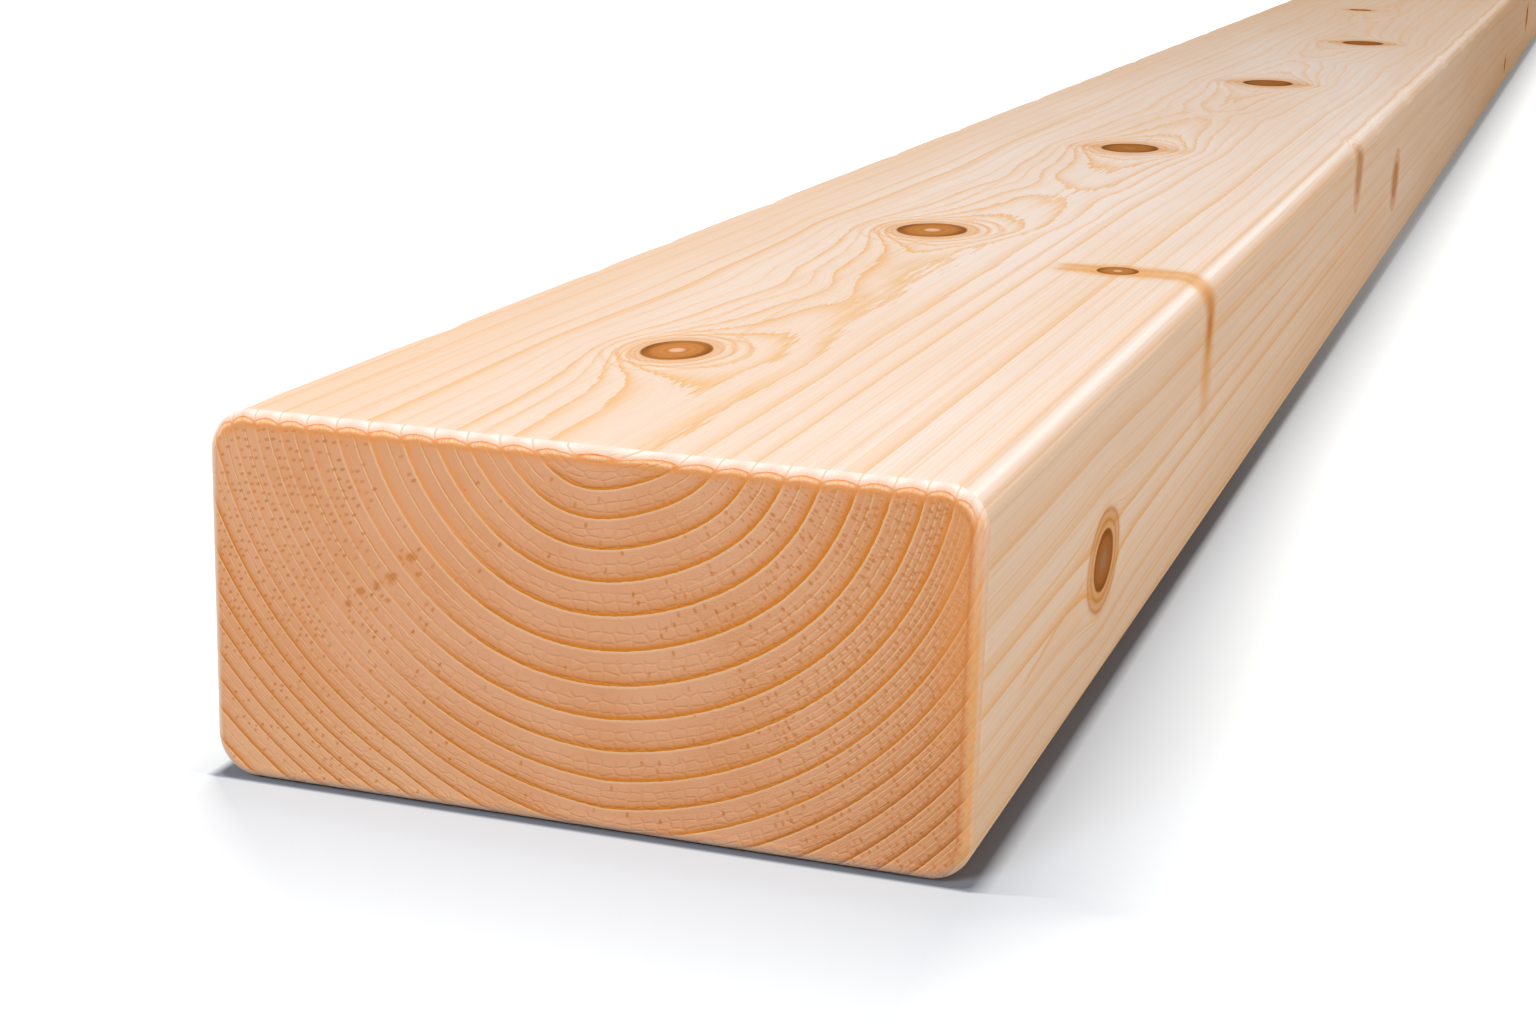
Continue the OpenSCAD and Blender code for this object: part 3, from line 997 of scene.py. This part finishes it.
def end_grain():
    """The sawn ends: ring lines, cell rows, resin pits, and the pale eased rim."""
    g = Shader(bpy.data.materials.new("softwood_end_grain"))
    place = g.place_mm()
    x, _, z = g.parts(place)
    dx, dz, _ = g.vector("from_heart")
    fine = g.noise(place, 0.8)
    broad = g.noise(place, 0.05, detail=3.0)
    age = g.sum(g.value("age"), g.times(fine, 0.05))
    phase = g.fract(age)
    angle = g.math("ARCTAN2", dx, g.times(dz, -1.0))
    radius = g.value("ring_radius")
    turned = g.size(angle)
    outer = g.rise(turned, 0.3, 0.8)
    late, line_colour, bright = ring_lines(g, phase, angle, radius)
    false_ring, false_shade = false_rings(g, phase, angle, radius, outer, ring_chance(g, age))
    cells = cell_lines(g, angle, radius, age, phase)
    cells = g.times(cells, g.rise(turned, 1.0, 0.5), g.rise(phase, 0.2, 0.45))
    scratch = scratches(g, angle, radius)

    colour = g.mix(g.rise(broad, -0.2, 0.35), END_EARLY, END_DEEP)
    colour = g.paint(colour, END_DEEP, g.rise(dx, 30.0, 66.0), 0.7)
    colour = g.paint(colour, END_BRIGHT, g.rise(z, 26.0, 4.0), g.rise(x, 25.0, -45.0), 0.28)
    colour = g.paint(colour, END_BRIGHT, g.rise(scratch, 0.05, 0.3), 0.3)
    colour = g.paint(colour, END_LATE, false_shade, 0.65)
    colour = g.paint(colour, END_BRIGHT, false_ring, 0.9)
    colour = g.paint(colour, END_PIT, end_pits(g, place, angle, radius, outer), 0.9)
    colour = g.mix(smudges(g, place), colour, END_PIT)
    colour = g.paint(colour, END_LATE, cells, 0.08)
    colour = g.mix(late, colour, line_colour)
    # Painted highlight on the lip past each ring line
    colour = g.paint(colour, END_BRIGHT, bright, 0.9)
    colour = rim_colours(g, place, phase, colour)

    reliefs = ((late, -0.5), (cells, -0.55), (false_ring, 0.5), (scratch, 0.8), (fine, 0.3))
    height = g.sum(*(g.times(what, depth) for what, depth in reliefs))
    return g.finish(colour, g.line(late, -0.12, 0.66), height, bump_mm=0.17, shine=0.12)


# Stage

FLOOR_HALF, FLOOR_GAP = 60.0, 0.0004
FLOOR_COLOUR = (0.29, 0.32, 0.38, 1.0)
FLOOR_GLOW = (1.0, 0.98, 0.915, 1.0)
WHITE = (1.0, 1.0, 1.0, 1.0)
# Runs of the floor's painted brightening, seen by the camera only, that shape the plank's shadow: where
# each starts and ends, from the plank in metres, and what it adds
FLOOR_RIGHT = ((0.0, 0.0035, 0.33), (0.004, 0.037, 0.42), (0.037, 0.07, 0.3))
FLOOR_LEFT = ((0.0, 0.002, 0.6), (0.002, 0.03, 0.35))
FLOOR_FRONT = ((0.01, 0.05, 0.2), (0.05, 0.15, 0.25))
# What the floor gains at once in front, and past the right corner over a distance to the right and in front
FRONT_GAIN, FRONT_RUN = 0.46, 0.001
CORNER_GAIN, CORNER_RIGHT, CORNER_FRONT = 0.3, 0.04, 0.018
# How far past the right and the left corner a run gets twice as long, and how far the borders lean there
RIGHT_FAN, LEFT_FAN = 0.004, 0.002
FRONT_LEAN, LEFT_LEAN = 0.5, 0.9
# The stretch of the plank along which its shadow on the right narrows, and how many times
NARROW_FROM, NARROW_TO, NARROW_TIMES = 0.05, 0.35, 1.8
# The stretch along which the shadow at the plank's foot fades, and what the floor gains there
FADE_FROM, FADE_TO, FADE_GAIN = 0.25, 0.8, 0.2
WORLD_LIGHT = 0.17


def white_to_camera(g):
    """1 for rays that show the background to the camera, in gloss or through glass, else 0."""
    rays = g.node("ShaderNodeLightPath").outputs
    return g.most(rays["Is Camera Ray"], rays["Is Glossy Ray"], rays["Is Transmission Ray"])


def make_floor():
    """A wide floor that keeps the plank's shadow, shaped by painted light that only the camera sees, and
    brightens to plain white away from it.
    """
    data = bpy.data.meshes.new("floor")
    corners = [(FLOOR_HALF * x, FLOOR_HALF * y, 0.0) for x, y in ((-1, -1), (1, -1), (1, 1), (-1, 1))]
    data.from_pydata(corners, [], [(0, 1, 2, 3)])
    floor = add_object("floor", data)
    floor.location.z = LOW[2] - FLOOR_GAP
    g = Shader(bpy.data.materials.new("floor_white"))
    g.dress({"Base Color": FLOOR_COLOUR, "Roughness": 0.9, "Specular IOR Level": 0.0})
    g.dress({"Emission Color": FLOOR_GLOW, "Emission Strength": g.times(white_to_camera(g), floor_lift(g))})
    data.materials.append(g.owner)


def floor_lift(g):
    """Painted light that only the camera sees: how much the floor brightens with the distance from the
    plank.
    """
    x, y, _ = g.parts(g.node("ShaderNodeTexCoord").outputs["Object"])

    def past(off, edge, way):
        return g.run(off, edge, edge + way, 0.0, 1.0)

    def runs_of(off, runs):
        return g.sum(*(g.run(off, start, end, 0.0, gain) for start, end, gain in runs))

    def fanned(off, other, fan):
        return g.over(off, g.run(other, 0.0, fan, 1.0, 2.0, clamp=False))

    def leaned(off, other, lean):
        return g.less(off, g.run(other, 0.0, 1.0, 0.0, lean))

    right = past(x, HIGH[0], 1.0)
    front = past(leaned(y, right, FRONT_LEAN), LOW[1], -1.0)
    left = past(leaned(x, front, LEFT_LEAN), LOW[0], -1.0)
    right = g.times(right, g.run(y, LOW[1] + NARROW_FROM, LOW[1] + NARROW_TO, 1.0, NARROW_TIMES))
    start = g.run(fanned(front, right, RIGHT_FAN), 0.0, FRONT_RUN, 0.0, FRONT_GAIN)
    corner = g.run(right, 0.0, CORNER_RIGHT, 0.0, CORNER_GAIN)
    corner = g.times(corner, g.run(front, 0.0, CORNER_FRONT, 0.0, 1.0))
    ahead = g.sum(start, corner, runs_of(front, FLOOR_FRONT))
    faded = g.run(y, LOW[1] + FADE_FROM, LOW[1] + FADE_TO, 0.0, FADE_GAIN)
    lift = g.most(runs_of(right, FLOOR_RIGHT), faded, ahead)
    # To the left and past the far end the lift closes the gap that is left to white
    gap = g.run(lift, 0.0, 1.0, 1.0, 0.0)
    beyond = runs_of(past(y, HIGH[1], 1.0), FLOOR_LEFT)
    beside = g.most(runs_of(fanned(left, front, LEFT_FAN), FLOOR_LEFT), beyond)
    return g.sum(lift, g.times(beside, gap))


def make_world():
    """Even studio light from all round, white where the camera sees it."""
    g = Shader(bpy.data.worlds.new("studio"), "Background")
    bpy.context.scene.world = g.owner
    g.dress({"Color": WHITE, "Strength": g.run(white_to_camera(g), 0.0, 1.0, WORLD_LIGHT, 1.0)})


def make_lamp(name, kind, energy, place, target, **settings):
    """A lamp at a place, turned to a target."""
    data = bpy.data.lights.new(name, kind)
    data.energy = energy
    for key, value in settings.items():
        setattr(data, key, value)
    lamp = add_object(name, data)
    lamp.location = place
    lamp.rotation_mode = "QUATERNION"
    lamp.rotation_quaternion = (Vector(target) - Vector(place)).to_track_quat("-Z", "Y")


def make_lamps():
    """A broad key from above, nearer over the near end, and low fills round the plank."""
    near = (0.0, LOW[1] + 0.3, 0.05)
    make_lamp("key_sky", "SUN", 1.3, (-0.06, -0.1, 3.2), (0.0, 0.0, 0.0), angle=math.radians(5.0))
    disks = (
        ("key_near", 1.85, (-0.02, LOW[1] + 0.15, 1.15), 0.2),
        ("fill_right", 27.0, (2.4, LOW[1] - 0.2, 0.22), 0.5),
        ("fill_front", 6.5, (-0.2, LOW[1] - 0.85, 0.58), 0.4),
    )
    for name, energy, place, size in disks:
        make_lamp(name, "AREA", energy, place, near, shape="DISK", size=size)
    strips = (
        ("fill_left", 18.0, (-1.2, 0.0, 0.1), (0.0, 0.0, 0.1), 6.4, 0.16),
        ("fill_far_right", 12.0, (1.2, 1.2, 0.1), (0.0, 1.2, 0.1), 3.8, 0.16),
        ("fill_far_top", 6.6, (0.0, 1.3, 1.0), (0.0, 1.3, 0.0), 0.3, 3.8),
        ("fill_far_end", 3.0, (0.0, HIGH[1] + 1.0, 0.1), (0.0, HIGH[1], 0.1), 0.8, 0.16),
    )
    for name, energy, place, target, wide, high in strips:
        make_lamp(name, "AREA", energy, place, target, shape="RECTANGLE", size=wide, size_y=high)


def make_camera():
    """The picture's viewpoint."""
    yaw, pitch, roll = (math.radians(a) for a in (CAMERA_YAW, CAMERA_PITCH, CAMERA_ROLL))
    forward = Vector((math.sin(yaw) * math.cos(pitch), math.cos(yaw) * math.cos(pitch), math.sin(pitch)))
    level = Vector((math.cos(yaw), -math.sin(yaw), 0.0))
    rise = level.cross(forward)
    right = level * math.cos(roll) + rise * math.sin(roll)
    up = rise * math.cos(roll) - level * math.sin(roll)
    data = bpy.data.cameras.new("camera")
    data.sensor_fit = "HORIZONTAL"
    data.lens = data.sensor_width * FOCAL_PIXELS / FRAME_WIDTH
    data.clip_start = CLIP_START
    camera = add_object("camera", data)
    turn = Matrix((right, up, -forward)).transposed().to_4x4()
    place = Vector(CAMERA_PLACE) / MM + Vector((0.0, LOW[1], 0.0))
    camera.matrix_world = Matrix.Translation(place) @ turn
    bpy.context.scene.camera = camera


make_camera()
plank = build_plank()
plank.data.materials.append(long_grain())
plank.data.materials.append(end_grain())
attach(plank, "root")
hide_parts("plank")
make_floor()
make_world()
make_lamps()
bpy.context.scene.view_settings.view_transform = "Standard"
